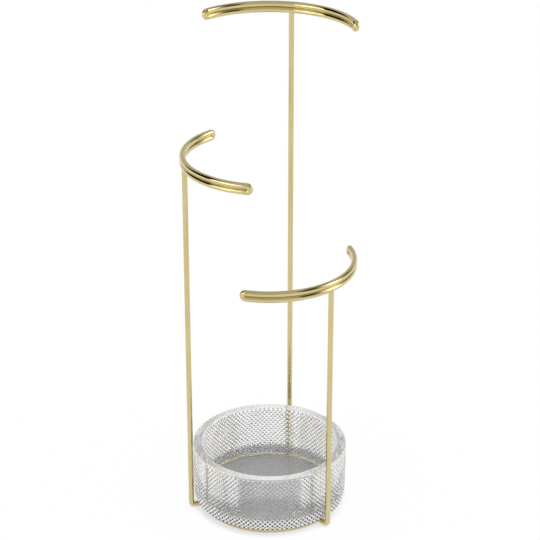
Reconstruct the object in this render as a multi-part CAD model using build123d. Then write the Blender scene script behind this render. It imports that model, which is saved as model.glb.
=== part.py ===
from build123d import *
import os

# Jewellery stand: a clear round tray on a hoop, with three rods around it that carry curved hangers.
# Millimetres. The origin is on the table, on the tray's axis. +Z is up, and the tallest post stands at +Y.

# Tray
tray_outer_radius = 69.0
tray_height = 52.6
tray_wall = 8.5
tray_floor = 5.0
tray_bottom_round = 4.2
tray_inner_round = 1.0
tray_rim_round = 1.6

# Diamond cuts on the tray's outside, as a band set in to their mean depth
cut_depth = 1.25
cut_mean_share = 2 / 3
cut_rim_margin = 1.8
cut_foot_margin = 1.1

# Pad in the base ring, under the tray: card covered with linen
pad_drop = 0.5
pad_fit_gap = 0.05
pad_board_thickness = 2.4
pad_cloth_thickness = 0.35
pad_glue_gap = 0.05

# Rods of the posts, and their feet
rod_diameter = 4.7
foot_inner_bend = 0.65
foot_ground_gap = 0.1
foot_tray_gap = 0.3

# Base ring of flat bar
ring_inset = 2.5
ring_thickness = 2.9
ring_edge_round = 0.4

# Hangers: two rails side by side, pressed a little into each other
rail_diameter = 5.2
rail_overlap = 0.25
hanger_half_angle = 60.7
tray_lift_gap = 1.45
back_hanger_top = 445.5
left_hanger_top = 336.6
right_hanger_top = 241.4

# Brazed spigots that join the rods to the ring and to the hangers
spigot_diameter = 2.6
spigot_clearance = 0.03
spigot_end_gap = 0.3
braze_gap = 0.05
hanger_spigot_share = 0.7
ring_spigot_share = 0.8

# Places of the posts around the tray, in degrees from +X
post_count = 3
back_post_angle = 90
post_spacing = 360 / post_count

# Heights and radii that follow from the sizes above
rod_radius = rod_diameter / 2
rail_radius = rail_diameter / 2
rail_pitch = rail_diameter - rail_overlap
hanger_height = rail_pitch + rail_diameter
foot_bend_radius = rod_radius + foot_inner_bend
foot_height = foot_ground_gap + rod_radius
ring_height = foot_ground_gap + rod_diameter + foot_tray_gap
ring_outer_radius = tray_outer_radius - tray_bottom_round - ring_inset
ring_inner_radius = ring_outer_radius - ring_thickness
post_circle_radius = tray_outer_radius + tray_lift_gap + max(rail_radius, rod_radius)
tray_inner_radius = tray_outer_radius - tray_wall
tray_floor_top = ring_height + tray_floor
tray_rim_top = ring_height + tray_height
cut_mean_depth = cut_depth * cut_mean_share
cut_bottom = ring_height + cut_foot_margin
cut_height = tray_height - cut_rim_margin - cut_foot_margin
pad_radius = ring_inner_radius - pad_fit_gap
pad_board_radius = pad_radius - pad_cloth_thickness - pad_glue_gap
pad_cloth_top = ring_height - pad_drop
pad_board_top = pad_cloth_top - pad_cloth_thickness
pad_bottom = pad_board_top - pad_board_thickness
spigot_radius = spigot_diameter / 2
hanger_spigot_length = hanger_spigot_share * rail_diameter
spigot_hole_radius = spigot_radius + spigot_clearance

hanger_tops = {"back": back_hanger_top, "left": left_hanger_top, "right": right_hanger_top}
post_angles = {side: back_post_angle + turn * post_spacing for turn, side in enumerate(hanger_tops)}


def turned(outline):
    """A full turn about Z of an outline drawn with x as the radius and y as the height."""
    return revolve(Plane.XZ * outline, axis=Axis.Z)


def rounded(outline, corners, radius):
    """The outline with the named corners rounded."""
    chosen = [outline.vertices().sort_by_distance((*corner, 0))[0] for corner in corners]
    return fillet(chosen, radius)


def radial_pin(radius, start, end, height):
    """A round pin that lies along X at a height, from one distance to another."""
    base = Plane(origin=(start, 0, height), z_dir=(1, 0, 0))
    return base * Cylinder(radius, end - start, align=(Align.CENTER, Align.CENTER, Align.MIN))


def upright_pin(radius, bottom, top):
    """A round pin that stands on the post's line, from one height to another."""
    place = Pos(post_circle_radius, 0, bottom)
    return place * Cylinder(radius, top - bottom, align=(Align.CENTER, Align.CENTER, Align.MIN))


def lower_rail_height(top):
    """Height of the lower rail's middle in a hanger with the given top."""
    return top - rail_radius - rail_pitch


def make_tray():
    """Thick dish with a rounded bottom edge, a soft rim, a rounded inside corner and a band set in outside."""
    outline = make_face(
        Polyline(
            (0, ring_height),
            (tray_outer_radius, ring_height),
            (tray_outer_radius, tray_rim_top),
            (tray_inner_radius, tray_rim_top),
            (tray_inner_radius, tray_floor_top),
            (0, tray_floor_top),
            close=True,
        )
    )
    outline = rounded(outline, [(tray_outer_radius, ring_height)], tray_bottom_round)
    rim_corners = [(tray_outer_radius, tray_rim_top), (tray_inner_radius, tray_rim_top)]
    outline = rounded(outline, rim_corners, tray_rim_round)
    outline = rounded(outline, [(tray_inner_radius, tray_floor_top)], tray_inner_round)
    band = Pos(tray_outer_radius, cut_bottom) * Rectangle(
        tray_wall, cut_height, align=(Align.CENTER, Align.MIN)
    )
    outline -= band & (outline - offset(outline, -cut_mean_depth))
    return turned(outline)


def make_pad_board():
    """Plain card disc inside the base ring, a little below its top."""
    place = Pos(0, 0, pad_bottom)
    on_base = (Align.CENTER, Align.CENTER, Align.MIN)
    return place * Cylinder(pad_board_radius, pad_board_thickness, align=on_base)


def make_pad_cloth():
    """Linen over the board, turned down round its edge to the board's underside."""
    edge_inside = pad_radius - pad_cloth_thickness
    outline = make_face(
        Polyline(
            (0, pad_board_top),
            (edge_inside, pad_board_top),
            (edge_inside, pad_bottom),
            (pad_radius, pad_bottom),
            (pad_radius, pad_cloth_top),
            (0, pad_cloth_top),
            close=True,
        )
    )
    return turned(outline)


def make_base_ring():
    """Hoop of flat bar with eased edges and one hole for each foot's spigot."""
    corners = [
        (ring_inner_radius, 0),
        (ring_outer_radius, 0),
        (ring_outer_radius, ring_height),
        (ring_inner_radius, ring_height),
    ]
    outline = rounded(make_face(Polyline(*corners, close=True)), corners, ring_edge_round)
    ring = turned(outline)
    for angle in post_angles.values():
        hole = radial_pin(spigot_hole_radius, ring_inner_radius - ring_thickness, post_circle_radius, foot_height)
        ring -= Rot(Z=angle) * hole
    return ring


def make_post(angle, hanger_top):
    """Rod with a bent foot, a spigot for the ring, and a saddle and spigot for the hanger."""
    foot_end = ring_outer_radius + braze_gap
    rail_height = lower_rail_height(hanger_top)
    path = FilletPolyline(
        (foot_end, 0, foot_height),
        (post_circle_radius, 0, foot_height),
        (post_circle_radius, 0, rail_height),
        radius=foot_bend_radius,
    )
    rod = sweep(Plane(origin=path @ 0, z_dir=path % 0) * Circle(rod_radius), path=path)
    rod -= Pos(0, 0, rail_height) * Torus(post_circle_radius, rail_radius + braze_gap)
    ring_spigot_end = ring_outer_radius - ring_spigot_share * ring_thickness
    rod += radial_pin(spigot_radius, ring_spigot_end, foot_end + rod_radius, foot_height)
    hanger_bottom = hanger_top - hanger_height
    rod += upright_pin(spigot_radius, hanger_bottom - rod_diameter, hanger_bottom + hanger_spigot_length)
    return Rot(Z=angle) * rod


def make_hanger(angle, hanger_top):
    """Curved bar of two rails with half-round ends, centred on its post, with a hole for the spigot."""
    upper_rail = Pos(post_circle_radius, rail_pitch / 2) * Circle(rail_radius)
    lower_rail = Pos(post_circle_radius, -rail_pitch / 2) * Circle(rail_radius)
    above_middle = Pos(post_circle_radius, 0) * Rectangle(
        hanger_height, hanger_height, align=(Align.CENTER, Align.MIN)
    )
    bar = revolve(Plane.XZ * (upper_rail + lower_rail), axis=Axis.Z, revolution_arc=2 * hanger_half_angle)
    end_half = Plane.XZ * (upper_rail & above_middle)
    near_end = revolve(end_half, axis=Axis.X, revolution_arc=180)
    far_end = Rot(Z=2 * hanger_half_angle) * mirror(near_end, Plane.XZ)
    bar = Rot(Z=-hanger_half_angle) * (bar + near_end + far_end)
    bar = Pos(0, 0, hanger_top - hanger_height / 2) * bar
    hole_top = hanger_top - hanger_height + hanger_spigot_length + spigot_end_gap
    bar -= upright_pin(spigot_hole_radius, hanger_top - 2 * hanger_height, hole_top)
    return Rot(Z=angle) * bar


pieces = {
    "base_ring": make_base_ring(),
    "tray": make_tray(),
    "pad_board": make_pad_board(),
    "pad_cloth": make_pad_cloth(),
}
for side, top in hanger_tops.items():
    pieces[f"post_{side}"] = make_post(post_angles[side], top)
    pieces[f"hanger_{side}"] = make_hanger(post_angles[side], top)

os.makedirs("parts", exist_ok=True)
for node, shape in pieces.items():
    export_step(shape, f"parts/{node}.step")
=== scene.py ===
"""Looks of the jewellery stand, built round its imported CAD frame.

The brass hoop, rods and hangers keep their CAD shapes and get a lacquered
brass finish. The glass tray is modelled again with its diamond cuts, and the
pad under it as a piece of linen drawn over the card. Sizes and places are in
metres.
"""

import math

import bmesh
import bpy
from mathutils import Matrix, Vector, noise


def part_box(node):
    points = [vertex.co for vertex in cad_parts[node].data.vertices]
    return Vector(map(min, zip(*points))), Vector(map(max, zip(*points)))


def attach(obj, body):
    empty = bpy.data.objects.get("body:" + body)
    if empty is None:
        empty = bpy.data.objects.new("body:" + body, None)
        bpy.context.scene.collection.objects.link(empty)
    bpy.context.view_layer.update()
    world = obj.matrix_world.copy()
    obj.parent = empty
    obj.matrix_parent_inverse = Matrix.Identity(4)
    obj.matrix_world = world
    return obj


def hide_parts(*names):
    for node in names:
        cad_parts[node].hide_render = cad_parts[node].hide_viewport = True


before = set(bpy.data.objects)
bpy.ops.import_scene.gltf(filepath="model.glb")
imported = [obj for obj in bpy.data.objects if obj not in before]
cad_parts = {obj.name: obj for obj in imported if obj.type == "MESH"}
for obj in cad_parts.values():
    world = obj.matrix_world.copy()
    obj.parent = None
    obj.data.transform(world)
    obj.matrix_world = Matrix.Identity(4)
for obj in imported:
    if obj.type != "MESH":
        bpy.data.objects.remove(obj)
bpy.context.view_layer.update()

MM = 0.001

# Tray: what its box doesn't say
tray_wall = 8.5 * MM
tray_floor = 5.0 * MM
tray_bottom_round = 4.2 * MM
tray_inner_round = 1.0 * MM
tray_rim_round = 1.6 * MM
round_steps = 8

# A narrow flat beside each round keeps smooth shading off the wide faces,
# and a thin gap of air parts the glass from the hoop under it
hold_width = 0.25 * MM
air_gap = 0.04 * MM

# Diamond cuts on the outside of the tray
diamonds_around = 99
diamond_rows = 23
diamond_half_height = 2.17 * MM
cut_depth = 1.25 * MM
cut_runout = 0.35 * MM
tray_columns = 2 * diamonds_around

# Cloth of the pad, with small puckers near its edge
cloth_thickness = 0.35 * MM
cloth_shoulder = 0.6 * MM
cloth_rings = 12
cloth_columns = 240
pucker_start = 0.93
pucker_depth = 0.07 * MM
pucker_drop_share = 0.5
pucker_scale = 900

# Colours are in linear light
white = (1, 1, 1, 1)

# Brass: clouds of tone, fine lines and a few dull specks
brass_pale = (0.66, 0.56, 0.29, 1)
brass_deep = (0.62, 0.52, 0.25, 1)
brass_cloud_scale = 45
brass_cloud_edges = (0.3, 0.7)
brass_speck_scale = 1400
brass_speck_edges = (0.70, 0.78)
brass_line_roughness = 0.06
brass_speck_roughness = 0.08
rod_roughness = 0.20
rod_grain = (900, 900, 25)
hanger_roughness = 0.045
hanger_grain = (160, 160, 900)

# Glass: faint waves and wiping marks
glass_clear = (0.998, 1.000, 0.999, 1)
glass_shade = (0.990, 0.994, 0.993, 1)
glass_wave_scale = 70
glass_wipe_stretch = (60, 60, 14)
glass_wipe_edges = (0.5, 0.8)
glass_wipe_roughness = 0.03

# Satin on the glass, and painted shade in the pits where cuts cross: heights are above the table
satin_white = (0.95, 0.95, 0.95, 1)
satin_roughness = 0.4
foot_satin_share = 0.85
rim_satin_share = 0.24
satin_top = 19 * MM
pit_shade_dark = (0.02, 0.02, 0.02, 1)
pit_shade_share = 0.16
foot_pit_shade_share = 1.0
foot_shade_top = 21 * MM
foot_rows_top = 12.5 * MM
pit_edges = (0.2, 0.65)
foot_pit_growth = 0.25
marks_depth = 5 * MM
marks_fade = 1 * MM

# Linen: threads over and under each other, in thick and thin runs, with painted shade in the gaps between
# threads
linen_dark = (0.46, 0.46, 0.465, 1)
linen_light = (0.97, 0.97, 0.98, 1)
thread_pitch = 0.85 * MM
thread_run_scale = 110
thread_width_scale = 1250
thread_swell = 0.4
thread_tone_edges = (0.25, 0.75)
thread_over_edges = (-0.4, 0.4)
gap_shade_edges = (0.0, 0.6)
gap_shade_tone = 0.45
slub_scale = 330
slub_tone_low = 0.55
slub_tone_range = 0.9
linen_roughness = 0.95
thread_gloss = 0.15

# Card: pressed fibres
card_dark = (0.085, 0.082, 0.078, 1)
card_light = (0.13, 0.125, 0.12, 1)
card_fibre_stretch = (900, 260, 260)
card_roughness = 0.85
card_fibre_roughness = 0.1

# Table, with shade close to the stand that leans to the left
table_white = (0.99, 0.99, 0.99, 1)
table_shade = (0.72, 0.72, 0.73, 1)
table_grain_scale = 300
table_roughness = 0.5
table_grain_roughness = 0.2
table_half_width = 10
table_squares = 8
shade_reach = 9 * MM
shade_way = (0.30, 0.10, 0.95)
shade_edges = (0.04, 0.9)
shade_samples = 16
shadow_share = 0.06

# Studio: panels seen in the brass and, more faintly, through the glass, as
# degrees round from the camera and up from the table, with the light of each
wall_light = 0.88
ceiling_light = 0.62
ceiling_start = 25
studio_panels = [
    # from, to, bottom, top, light
    (-78, -34, -22, 28, 1.85),
    (78, 104, -8, 45, 1.90),
    (-62, -44, -14, 12, 3.60),
    (85, 97, 2, 34, 3.60),
    (-130, -80, 6, 54, 0.0),
    (42, 68, 12, 56, 0.08),
    (60, 82, 40, 62, 0.04),
    (82, 138, 50, 66, 0.22),
    (118, 142, 18, 38, 0.10),
]
panel_edge = 3
glass_studio_share = 0.3

# Bounces that light needs to find its way out of the cut glass
light_bounces = 32

# Camera of the photograph, with its lens and sensor in millimetres
camera_place = (0.3636, -1.3598, 0.8778)
camera_turn = math.radians(14.95)
camera_tilt = math.radians(65.195)
camera_lens = 119.74
camera_sensor = 36


class Shade:
    """The output of a node. Sums written with it add Math nodes to its tree."""

    def __init__(self, nodes, socket):
        self.nodes, self.socket = nodes, socket

    def __getitem__(self, name):
        return Shade(self.nodes, self.socket.node.outputs[name])

    def __add__(self, other):
        return self.nodes.function("ADD", self, other)

    def __radd__(self, other):
        return self.nodes.function("ADD", other, self)

    def __sub__(self, other):
        return self.nodes.function("SUBTRACT", self, other)

    def __rsub__(self, other):
        return self.nodes.function("SUBTRACT", other, self)

    def __mul__(self, other):
        return self.nodes.function("MULTIPLY", self, other)

    def __rmul__(self, other):
        return self.nodes.function("MULTIPLY", other, self)


class Nodes:
    """The node tree of one finish, or of the world."""

    def __init__(self, owner):
        owner.use_nodes = True
        self.tree = owner.node_tree
        self.tree.nodes.clear()

    def add(self, kind, settings=None, sockets=None):
        """A node of the given type, with its settings and then its sockets' values or links."""
        node = self.tree.nodes.new("ShaderNode" + kind)
        for name, setting in (settings or {}).items():
            setattr(node, name, setting)
        for name, value in (sockets or {}).items():
            if isinstance(value, Shade):
                self.tree.links.new(value.socket, node.inputs[name])
            else:
                node.inputs[name].default_value = value
        return Shade(self, node.outputs[0]) if node.outputs else None

    def function(self, operation, value, other=0):
        """A Math node of one value or two, such as a sine or the larger of two."""
        return self.add("Math", {"operation": operation}, {0: value, 1: other})

    def colours(self, share, first, second):
        """Two colours, mixed by a share from 0 to 1."""
        # The colours of a Mix node are its inputs 6 and 7 and its output 2
        mixed = self.add("Mix", {"data_type": "RGBA"}, {0: share, 6: first, 7: second})
        return Shade(self, mixed.socket.node.outputs[2])

    def noise(self, place, scale, detail=2, roughness=0.5):
        """Soft noise from 0 to 1."""
        sockets = {"Vector": place, "Scale": scale, "Detail": detail, "Roughness": roughness}
        return self.add("TexNoise", None, sockets)["Fac"]

    def streaks(self, place, stretch, detail=2, roughness=0.6):
        """Noise from 0 to 1 with its own scale along each axis."""
        stretched = self.add("Mapping", None, {"Vector": place, "Scale": stretch})
        return self.noise(stretched, 1, detail, roughness)

    def ramp(self, value, low, high):
        """A value eased from 0 at low to 1 at high."""
        sockets = {"Value": value, "From Min": low, "From Max": high}
        return self.add("MapRange", {"interpolation_type": "SMOOTHSTEP"}, sockets)

    def bump(self, height, strength, distance):
        """A normal that follows a height."""
        return self.add("Bump", None, {"Strength": strength, "Distance": distance, "Height": height})


def new_finish(name):
    """A material, its nodes and the place on the piece."""
    finish = bpy.data.materials.new(name)
    nodes = Nodes(finish)
    return finish, nodes, nodes.add("TexCoord")["Object"]


def close_finish(nodes, sockets):
    """Ends a material in its surface shader."""
    surface = nodes.add("BsdfPrincipled", None, sockets)
    nodes.add("OutputMaterial", None, {"Surface": surface})


def brass_finish(name, roughness, grain):
    """Lacquered brass plating with fine lines. The grain is their scale along each axis."""
    finish, nodes, place = new_finish(name)
    cloud = nodes.ramp(nodes.noise(place, brass_cloud_scale, detail=3), *brass_cloud_edges)
    lines = nodes.streaks(place, grain)
    specks = nodes.ramp(nodes.noise(place, brass_speck_scale, detail=1), *brass_speck_edges)
    dulled = brass_line_roughness * (lines - 0.5) + brass_speck_roughness * specks
    close_finish(
        nodes,
        {
            "Base Color": nodes.colours(cloud, brass_deep, brass_pale),
            "Metallic": 1.0,
            "Roughness": roughness + dulled,
            "Coat Weight": 0.15,
            "Coat Roughness": 0.04,
            "Normal": nodes.bump(lines, strength=0.05, distance=0.05 * MM),
        },
    )
    return finish


def cut_marks(nodes, place):
    """Shares of satin, on the rim and the lowest cuts, and of painted shade, in the pits where cuts cross
    and most in the lowest cuts.
    """
    low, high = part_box("tray")
    radius, bend = high.x, low.z + air_gap + tray_bottom_round
    top = high.z - tray_rim_round - cut_runout
    spot = nodes.add("SeparateXYZ", None, {"Vector": place})
    height = spot["Z"]
    distance = nodes.function("SQRT", spot["X"] * spot["X"] + spot["Y"] * spot["Y"])
    turn = nodes.function("ARCTAN2", spot["Y"], spot["X"])

    # The way down the wall from the top of the cuts, and then round the bottom edge
    straight = top - nodes.function("MAXIMUM", height, bend)
    drop = nodes.function("MAXIMUM", bend - height, 0)
    bent = tray_bottom_round * nodes.function("ARCTAN2", drop, distance - (radius - tray_bottom_round))

    around = nodes.function("COSINE", diamonds_around * turn)
    down = nodes.function("COSINE", (straight + bent) * (math.pi / diamond_half_height))
    foot = 1 - nodes.ramp(height, foot_rows_top, foot_shade_top)
    pits = nodes.ramp(foot_pit_growth * foot - around * down, *pit_edges)
    rim = nodes.ramp(height, top, top + cut_runout)
    outside = nodes.ramp(distance, radius - marks_depth - marks_fade, radius - marks_depth) * (1 - rim)
    foot_satin = foot_satin_share * (1 - nodes.ramp(height, foot_rows_top, satin_top))
    satin = outside * (1 - pits) * foot_satin + rim_satin_share * rim
    # Painted shade: the pits where cuts cross are darkened, most of all in the lowest cuts
    pit_shade = outside * pits * (pit_shade_share + (foot_pit_shade_share - pit_shade_share) * foot)
    return satin, pit_shade


def glass_finish():
    """Clear pressed glass with faint waves and wiping marks, satin on its cuts and rim, and painted shade in
    the pits of its cuts.
    """
    finish, nodes, place = new_finish("clear_glass")
    satin, pit_shade = cut_marks(nodes, place)
    wipes = nodes.streaks(place, glass_wipe_stretch, detail=3)
    waves = nodes.noise(place, glass_wave_scale, detail=1)
    clear = nodes.add(
        "BsdfPrincipled",
        None,
        {
            # The glass's colour is darkened by painted shade in the pits of the cuts
            "Base Color": nodes.colours(pit_shade, nodes.colours(wipes, glass_shade, glass_clear), pit_shade_dark),
            "Roughness": glass_wipe_roughness * nodes.ramp(wipes, *glass_wipe_edges),
            "IOR": 1.5,
            "Transmission Weight": 1.0,
            "Normal": nodes.bump(waves, strength=0.10, distance=0.3 * MM),
        },
    )
    matt = nodes.add("BsdfPrincipled", None, {"Base Color": satin_white, "Roughness": satin_roughness})
    surface = nodes.add("MixShader", None, {0: satin, 1: clear, 2: matt})
    nodes.add("OutputMaterial", None, {"Surface": surface})
    return finish


def linen_finish():
    """Plain-woven linen: threads over and under each other, with thick and thin runs and painted shade in
    the gaps between threads.
    """
    finish, nodes, place = new_finish("grey_linen")
    spot = nodes.add("SeparateXYZ", None, {"Vector": place})
    turn = math.pi / thread_pitch
    across = nodes.function("SINE", spot["X"] * turn)
    along = nodes.function("SINE", spot["Y"] * turn)
    over = nodes.ramp(across * along, *thread_over_edges)
    weft = nodes.streaks(place, (thread_run_scale, thread_width_scale, 1))
    warp = nodes.streaks(place, (thread_width_scale, thread_run_scale, 1))
    thread = over * weft + (1 - over) * warp
    gaps = nodes.function("ABSOLUTE", across) * nodes.function("ABSOLUTE", along)
    height = gaps * ((1 - thread_swell) + thread_swell * thread)
    slubs = slub_tone_low + slub_tone_range * nodes.noise(place, slub_scale, detail=3, roughness=0.6)
    # Painted shade: the tone is darker in the gaps between threads
    gap_shade = gap_shade_tone + (1 - gap_shade_tone) * nodes.ramp(gaps, *gap_shade_edges)
    tone = nodes.ramp(thread, *thread_tone_edges) * gap_shade * slubs
    close_finish(
        nodes,
        {
            "Base Color": nodes.colours(tone, linen_dark, linen_light),
            "Roughness": linen_roughness - thread_gloss * thread,
            "Sheen Weight": 0.15,
            "Sheen Roughness": 0.5,
            "Normal": nodes.bump(height, strength=0.7, distance=0.25 * MM),
        },
    )
    return finish


def card_finish():
    """Grey board with pressed fibres."""
    finish, nodes, place = new_finish("card")
    fibres = nodes.streaks(place, card_fibre_stretch, detail=4, roughness=0.7)
    close_finish(
        nodes,
        {
            "Base Color": nodes.colours(fibres, card_dark, card_light),
            "Roughness": card_roughness + card_fibre_roughness * fibres,
            "Normal": nodes.bump(fibres, strength=0.3, distance=0.1 * MM),
        },
    )
    return finish


def table_finish():
    """Matt white table, as white as the studio but for shade close to the stand and a little shadow."""
    finish, nodes, place = new_finish("white_table")
    roughness = table_roughness + table_grain_roughness * nodes.noise(place, table_grain_scale)
    matt = nodes.add("BsdfDiffuse", None, {"Color": table_white, "Roughness": roughness})
    way = nodes.add("CombineXYZ", None, dict(zip("XYZ", shade_way)))
    reach = {"Distance": shade_reach, "Normal": way}
    open_share = nodes.add("AmbientOcclusion", {"samples": shade_samples}, reach)["AO"]
    shade = nodes.ramp(1 - open_share, *shade_edges)
    glow = nodes.add("Emission", None, {"Color": nodes.colours(shade, white, table_shade), "Strength": 1})
    ray = nodes.add("LightPath")
    mirrored = ray["Is Glossy Ray"] * (1 - ray["Is Transmission Ray"])
    seen = nodes.function("MAXIMUM", ray["Is Camera Ray"], mirrored)
    surface = nodes.add("MixShader", None, {0: seen * (1 - shadow_share), 1: matt, 2: glow})
    nodes.add("OutputMaterial", None, {"Surface": surface})
    return finish


def new_piece(name, mesh, finish):
    """A mesh in the scene, with its finish."""
    data = bpy.data.meshes.new(name)
    mesh.to_mesh(data)
    mesh.free()
    data.materials.append(finish)
    piece = bpy.data.objects.new(name, data)
    bpy.context.scene.collection.objects.link(piece)
    return piece


def arc(middle, radius, start, end):
    """Points of an arc in an outline, as distances from the axis and heights, by angles in degrees."""
    steps = [start + (end - start) * step / round_steps for step in range(round_steps + 1)]
    angles = [math.radians(step) for step in steps]
    return [(middle[0] + radius * math.cos(a), middle[1] + radius * math.sin(a)) for a in angles]


def ring_of(mesh, point, columns):
    """A ring of vertices round the axis, or the one vertex on it."""
    distance, height = point
    if distance == 0:
        return [mesh.verts.new((0, 0, height))]
    angles = [2 * math.pi * column / columns for column in range(columns)]
    return [mesh.verts.new((distance * math.cos(a), distance * math.sin(a), height)) for a in angles]


def join_rings(mesh, first, second):
    """Smooth faces between two rings, or between a ring and one vertex on the axis."""
    columns = max(len(first), len(second))
    for column in range(columns):
        after = (column + 1) % columns
        corners = [
            first[column % len(first)],
            first[after % len(first)],
            second[after % len(second)],
            second[column % len(second)],
        ]
        mesh.faces.new(list(dict.fromkeys(corners))).smooth = True


def turned(mesh, outline, columns):
    """Rings and smooth faces along an outline. Gives back its first ring."""
    rings = [ring_of(mesh, point, columns) for point in outline]
    for first, second in zip(rings, rings[1:]):
        join_rings(mesh, first, second)
    return rings[0]


def outside_point(travel, depth, top, radius, base):
    """A point on the tray's outside: how far down from the top of the cuts, and how deep in."""
    bend = base + tray_bottom_round
    if travel <= top - bend:
        return radius - depth, top - travel
    angle = (travel - (top - bend)) / tray_bottom_round
    distance = radius - tray_bottom_round + (tray_bottom_round - depth) * math.cos(angle)
    return distance, bend - (tray_bottom_round - depth) * math.sin(angle)


def cut_diamonds(mesh, top, radius, base):
    """Rows of raised diamonds in flat facets. Gives back the first ring and the last."""
    rows = []
    for row in range(diamond_rows + 1):
        travel = row * diamond_half_height
        point, valley = (outside_point(travel, depth, top, radius, base) for depth in (0, cut_depth))
        vertices = []
        for column in range(tray_columns):
            distance, height = point if (column + row) % 2 == 0 else valley
            angle = 2 * math.pi * column / tray_columns
            vertices.append(mesh.verts.new((distance * math.cos(angle), distance * math.sin(angle), height)))
        rows.append(vertices)
    for row, vertices in enumerate(rows):
        for column in range(row % 2, tray_columns, 2):
            peak = vertices[column]
            left = vertices[column - 1]
            right = vertices[(column + 1) % tray_columns]
            if row > 0:
                above = rows[row - 1][column]
                mesh.faces.new((peak, right, above))
                mesh.faces.new((peak, above, left))
            if row < diamond_rows:
                below = rows[row + 1][column]
                mesh.faces.new((peak, left, below))
                mesh.faces.new((peak, below, right))
    return rows[0], rows[-1]


def make_tray(finish):
    """Thick glass dish: diamond cuts outside, smooth inside, with a soft rim."""
    low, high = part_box("tray")
    radius, base, rim = high.x, low.z + air_gap, high.z
    inner, floor_top = radius - tray_wall, low.z + tray_floor
    cuts_top = rim - tray_rim_round - cut_runout
    mesh = bmesh.new()

    first_cut, last_cut = cut_diamonds(mesh, cuts_top, radius, base)
    cuts_length = diamond_rows * diamond_half_height + cut_runout
    straight_length = cuts_top - base - tray_bottom_round
    cuts_end = math.degrees((cuts_length - straight_length) / tray_bottom_round)
    bend_middle = (radius - tray_bottom_round, base + tray_bottom_round)
    underside = arc(bend_middle, tray_bottom_round, -cuts_end, -90)
    underside += [(radius - tray_bottom_round - hold_width, base), (0, base)]
    first_under = turned(mesh, underside, tray_columns)
    join_rings(mesh, last_cut, first_under)

    rim_outside = arc((radius - tray_rim_round, rim - tray_rim_round), tray_rim_round, 0, 90)
    rim_inside = arc((inner + tray_rim_round, rim - tray_rim_round), tray_rim_round, 90, 180)
    corner = arc((inner - tray_inner_round, floor_top + tray_inner_round), tray_inner_round, 0, -90)
    inside = [
        *rim_outside,
        (radius - tray_rim_round - hold_width, rim),
        (inner + tray_rim_round + hold_width, rim),
        *rim_inside,
        (inner, rim - tray_rim_round - hold_width),
        (inner, floor_top + tray_inner_round + hold_width),
        *corner,
        (inner - tray_inner_round - hold_width, floor_top),
        (0, floor_top),
    ]
    first_rim = turned(mesh, inside, tray_columns)
    join_rings(mesh, first_rim, first_cut)

    bmesh.ops.recalc_face_normals(mesh, faces=mesh.faces)
    tray = new_piece("cut_glass_tray", mesh, finish)
    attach(tray, "tray")
    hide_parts("tray")


def make_pad(finish):
    """Linen drawn over the card, with its edge turned down and slightly puckered."""
    low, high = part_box("pad_cloth")
    radius, base, top = high.x, low.z, high.z
    flat = radius - cloth_shoulder
    spread = [(flat * ring / cloth_rings, top) for ring in range(1, cloth_rings + 1)]
    shoulder = arc((flat, top - cloth_shoulder), cloth_shoulder, 90, 0)
    mesh = bmesh.new()
    turned(mesh, [(0, top), *spread, *shoulder[1:], (radius, base)], cloth_columns)
    for vertex in mesh.verts:
        distance = vertex.co.xy.length
        near_edge = max(0, distance / radius - pucker_start) / (1 - pucker_start)
        pucker = pucker_depth * near_edge * (noise.noise(vertex.co * pucker_scale) - 1)
        vertex.co.z += pucker_drop_share * pucker * (vertex.co.z > base)
        if distance > 0:
            vertex.co.xy *= 1 + pucker / distance
    bmesh.ops.recalc_face_normals(mesh, faces=mesh.faces)
    bmesh.ops.solidify(mesh, geom=mesh.faces[:], thickness=cloth_thickness)
    linen = new_piece("pad_linen", mesh, finish)
    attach(linen, "frame")
    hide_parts("pad_cloth")


def dress(node, finish):
    """Gives a CAD node its finish."""
    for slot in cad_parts[node].material_slots:
        slot.material = finish


def make_table(finish):
    """Wide white table under the stand."""
    mesh = bmesh.new()
    bmesh.ops.create_grid(mesh, x_segments=table_squares, y_segments=table_squares, size=table_half_width)
    new_piece("table", mesh, finish)


def between(nodes, value, low, high):
    """1 where a value lies between two ends and 0 elsewhere, with the soft edges of a studio panel."""
    past_low = nodes.ramp(value, low - panel_edge, low + panel_edge)
    past_high = nodes.ramp(value, high - panel_edge, high + panel_edge)
    return past_low * (1 - past_high)


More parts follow.
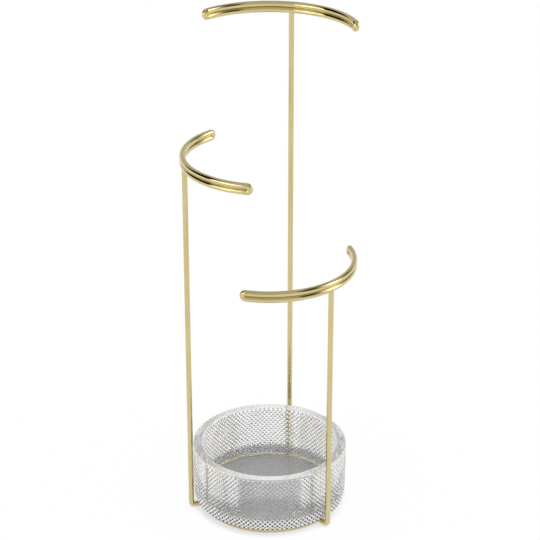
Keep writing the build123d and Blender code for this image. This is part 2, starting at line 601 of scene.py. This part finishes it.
def light_studio():
    """White all round for the camera and for matt surfaces. Metal and glass see the studio's panels."""
    world = bpy.data.worlds.new("studio")
    bpy.context.scene.world = world
    nodes = Nodes(world)
    way = nodes.add("TexCoord")["Generated"]
    way = nodes.add("VectorRotate", {"rotation_type": "Z_AXIS"}, {"Vector": way, "Angle": -camera_turn})
    way = nodes.add("SeparateXYZ", None, {"Vector": way})
    degrees = 180 / math.pi
    around = degrees * nodes.function("ARCTAN2", way["X"], 0 - way["Y"])
    up = degrees * nodes.function("ARCSINE", way["Z"])
    light = wall_light + (ceiling_light - wall_light) * nodes.ramp(up, 0, ceiling_start)
    for left, right, bottom, top, strength in studio_panels:
        panel = between(nodes, around, left, right) * between(nodes, up, bottom, top)
        light = light + panel * (strength - light)
    ray = nodes.add("LightPath")
    matt = nodes.function("MINIMUM", ray["Diffuse Depth"], 1)
    through = ray["Is Transmission Ray"]
    mirrored = (ray["Is Glossy Ray"] * (1 - through) + glass_studio_share * through) * (1 - matt)
    background = nodes.add("Background", None, {"Color": white, "Strength": 1 + mirrored * (light - 1)})
    nodes.add("OutputWorld", None, {"Surface": background})


def place_camera():
    """Camera at the photograph's place."""
    data = bpy.data.cameras.new("photo_camera")
    data.lens, data.sensor_width = camera_lens, camera_sensor
    camera = bpy.data.objects.new("photo_camera", data)
    camera.location = camera_place
    camera.rotation_euler = (camera_tilt, 0, camera_turn)
    bpy.context.scene.collection.objects.link(camera)
    bpy.context.scene.camera = camera


rod_brass = brass_finish("rod_brass", rod_roughness, rod_grain)
hanger_brass = brass_finish("hanger_brass", hanger_roughness, hanger_grain)
for side in ("back", "left", "right"):
    dress(f"post_{side}", rod_brass)
    dress(f"hanger_{side}", hanger_brass)
dress("base_ring", rod_brass)
dress("pad_board", card_finish())
make_tray(glass_finish())
make_pad(linen_finish())
make_table(table_finish())
light_studio()
place_camera()
bpy.context.scene.view_settings.view_transform = "Standard"
for bounces in ("max_bounces", "glossy_bounces", "transmission_bounces"):
    setattr(bpy.context.scene.cycles, bounces, light_bounces)
